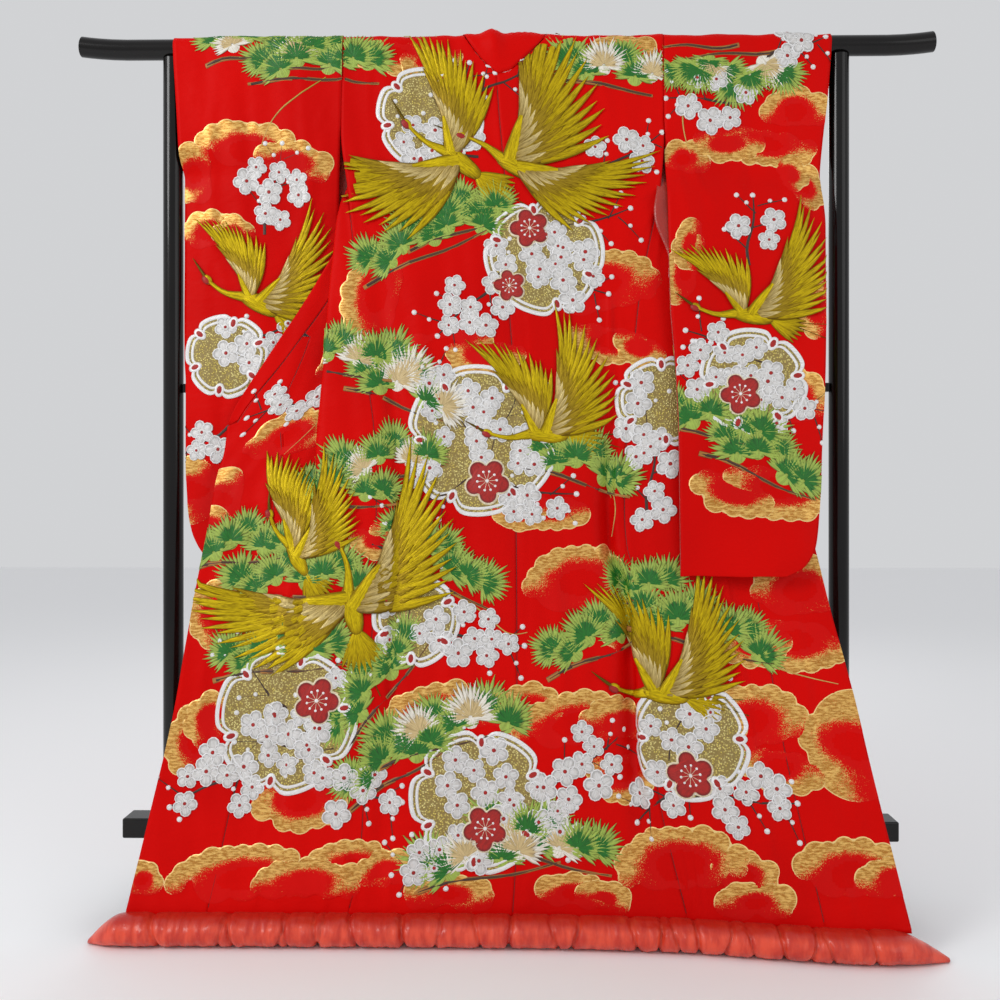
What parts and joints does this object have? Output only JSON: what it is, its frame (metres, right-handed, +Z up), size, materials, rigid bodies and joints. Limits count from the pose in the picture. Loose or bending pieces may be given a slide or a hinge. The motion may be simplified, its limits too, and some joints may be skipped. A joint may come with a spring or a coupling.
{
  "type": "uchikake wedding kimono on display stand",
  "caption": "Uchikake bridal over-kimono shown from the back, fronts spread, padded hem on the floor, hung by a bar through the sleeves on a lacquered stand.",
  "frame": {"origin": "on the floor, under the middle of the whole object's box", "axes": "+Z up, +X along the top bar to the viewer's right, and the garment's back, which is the shown side, faces -Y"},
  "size_m": [1.738, 0.4745, 1.7607],
  "materials": {
    "red_silk": "woven silk, satin sheen",
    "coral_satin": "padded satin, soft sheen",
    "black_lacquer": "black gloss lacquer on wood"
  },
  "bodies": {
    "root": {"back_left": "red_silk", "back_right": "red_silk", "front_left": "red_silk", "front_right": "red_silk", "okumi_left": "red_silk", "okumi_right": "red_silk", "sleeve_left": "red_silk", "sleeve_right": "red_silk", "collar": "red_silk", "fuki": "coral_satin", "top_bar": "black_lacquer", "post_left": "black_lacquer", "post_right": "black_lacquer", "mid_rail": "black_lacquer", "base_rail": "black_lacquer", "foot_left": "black_lacquer", "foot_right": "black_lacquer"}
  },
  "joints": []
}
